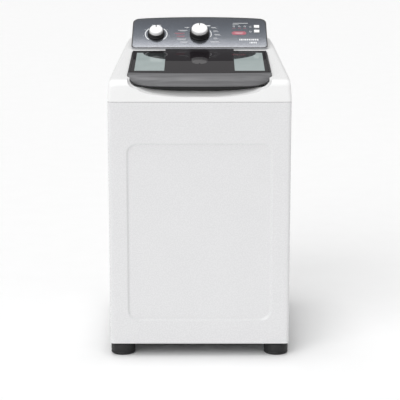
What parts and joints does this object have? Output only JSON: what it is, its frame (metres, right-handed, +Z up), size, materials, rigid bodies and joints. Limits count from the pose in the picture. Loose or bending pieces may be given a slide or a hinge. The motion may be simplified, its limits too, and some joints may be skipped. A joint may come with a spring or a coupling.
{
  "type": "top load washing machine",
  "caption": "Top loading washing machine: white steel cabinet, sloping glass lid with hand scoop, raised inclined control fascia with two dials, sprung tub, basket and agitator.",
  "frame": {"origin": "on the floor, below the middle of the machine's bounding box", "axes": "+X to the machine's right as seen from the front, front faces -Y, +Z up"},
  "size_m": [0.59, 0.64, 1.0579],
  "materials": {
    "white_steel": "white enamel, semi-gloss",
    "white_plastic": "white, semi-gloss",
    "dark_plastic": "dark grey, glossy",
    "grey_plastic": "metallic grey, satin",
    "panel_gloss": "grey-blue fascia, glossy",
    "black_plastic": "black, matt",
    "clear_glass": "clear tempered glass",
    "grey_tub": "light grey, satin",
    "stainless": "brushed stainless steel",
    "zinc_steel": "zinc plated, satin",
    "aluminium": "cast, satin",
    "rubber": "black rubber, matt",
    "board_green": "circuit board green"
  },
  "bodies": {
    "cabinet": {"cabinet": "white_steel", "back_panel": "white_steel", "base_frame": "zinc_steel", "top_cover": "white_plastic", "hinge_cover": "dark_plastic", "console_panel": "panel_gloss", "console_housing": "black_plastic", "control_board": "board_green", "level_switch": "white_plastic", "program_switch": "white_plastic", "dispenser_housing": "white_plastic", "inlet_valve": "white_plastic", "fill_hose": "rubber", "drain_pump": "black_plastic", "sump_hose": "rubber", "drain_hose": "grey_tub", "cord_gland": "black_plastic", "corner_bracket_front_left": "zinc_steel", "suspension_rod_front_left": "zinc_steel", "suspension_spring_front_left": "zinc_steel", "corner_bracket_rear_left": "zinc_steel", "suspension_rod_rear_left": "zinc_steel", "suspension_spring_rear_left": "zinc_steel", "corner_bracket_front_right": "zinc_steel", "suspension_rod_front_right": "zinc_steel", "suspension_spring_front_right": "zinc_steel", "corner_bracket_rear_right": "zinc_steel", "suspension_rod_rear_right": "zinc_steel", "suspension_spring_rear_right": "zinc_steel"},
    "lid": {"lid_glass": "clear_glass", "lid_frame": "dark_plastic", "lid_handle": "grey_plastic", "hinge_pin_left": "zinc_steel", "hinge_pin_right": "zinc_steel"},
    "level_knob": {"level_knob": "black_plastic", "level_knob_cap": "white_plastic"},
    "program_knob": {"program_knob": "black_plastic", "program_knob_cap": "white_plastic"},
    "power_button": {"power_button": "white_plastic"},
    "start_button": {"start_button": "white_plastic"},
    "dispenser_drawer": {"dispenser_drawer": "grey_tub"},
    "tub": {"outer_tub": "grey_tub", "tub_ring": "white_plastic", "tub_bracket": "zinc_steel", "gearcase": "aluminium", "shaft_seal": "rubber", "motor": "aluminium", "drive_belt": "rubber"},
    "basket": {"basket": "stainless", "basket_hub": "aluminium", "balance_ring": "white_plastic"},
    "agitator": {"agitator": "white_plastic", "agitator_cap": "grey_plastic", "drive_shaft": "zinc_steel", "drive_pulley": "aluminium"},
    "motor_pulley": {"motor_pulley": "aluminium"},
    "foot_front_left": {"foot_front_left": "rubber"},
    "foot_rear_left": {"foot_rear_left": "rubber"},
    "foot_front_right": {"foot_front_right": "rubber"},
    "foot_rear_right": {"foot_rear_right": "rubber"}
  },
  "joints": [
    {"name": "lid_hinge", "type": "hinge", "parent": "cabinet", "child": "lid", "pos_m": [0, 0.075, 0.951], "axis": [-1, 0, 0], "range_deg": [0, 95]},
    {"name": "program_dial", "type": "hinge", "parent": "cabinet", "child": "program_knob", "pos_m": [0, 0.15422, 1.00776], "axis": [0, -0.5446, 0.8387], "continuous": true},
    {"name": "level_dial", "type": "hinge", "parent": "cabinet", "child": "level_knob", "pos_m": [-0.15, 0.15422, 1.00776], "axis": [0, -0.5446, 0.8387], "range_deg": [-130, 130]},
    {"name": "power_press", "type": "slide", "parent": "cabinet", "child": "power_button", "axis": [0, 0.5446, -0.8387], "range_m": [0, 0.0025], "stiffness_N_per_m": 300, "springref_m": -0.002},
    {"name": "start_press", "type": "slide", "parent": "cabinet", "child": "start_button", "axis": [0, 0.5446, -0.8387], "range_m": [0, 0.0025], "stiffness_N_per_m": 300, "springref_m": -0.002},
    {"name": "drawer_slide", "type": "slide", "parent": "cabinet", "child": "dispenser_drawer", "axis": [0, -1, 0], "range_m": [0, 0.08]},
    {"name": "tub_bounce", "type": "slide", "parent": "cabinet", "child": "tub", "axis": [0, 0, 1], "range_m": [-0.02, 0.006], "stiffness_N_per_m": 12000, "springref_m": 0.0222, "deforming": ["suspension_spring_front_left", "suspension_spring_rear_left", "suspension_spring_front_right", "suspension_spring_rear_right", "sump_hose"]},
    {"name": "basket_spin", "type": "hinge", "parent": "tub", "child": "basket", "pos_m": [0, -0.02, 0.4], "axis": [0, 0, 1], "continuous": true},
    {"name": "agitator_spin", "type": "hinge", "parent": "tub", "child": "agitator", "pos_m": [0, -0.02, 0.3], "axis": [0, 0, 1], "continuous": true},
    {"name": "motor_spin", "type": "hinge", "parent": "tub", "child": "motor_pulley", "pos_m": [0.168, -0.02, 0.118], "axis": [0, 0, 1], "continuous": true},
    {"name": "foot_turn_front_left", "type": "hinge", "parent": "cabinet", "child": "foot_front_left", "pos_m": [-0.254, -0.275, 0.02], "axis": [0, 0, 1], "continuous": true},
    {"name": "foot_turn_rear_left", "type": "hinge", "parent": "cabinet", "child": "foot_rear_left", "pos_m": [-0.254, 0.275, 0.02], "axis": [0, 0, 1], "continuous": true},
    {"name": "foot_turn_front_right", "type": "hinge", "parent": "cabinet", "child": "foot_front_right", "pos_m": [0.254, -0.275, 0.02], "axis": [0, 0, 1], "continuous": true},
    {"name": "foot_turn_rear_right", "type": "hinge", "parent": "cabinet", "child": "foot_rear_right", "pos_m": [0.254, 0.275, 0.02], "axis": [0, 0, 1], "continuous": true}
  ],
  "couplings": [
    {"joint": "motor_spin", "follows": "agitator_spin", "ratio": 4.1429}
  ]
}
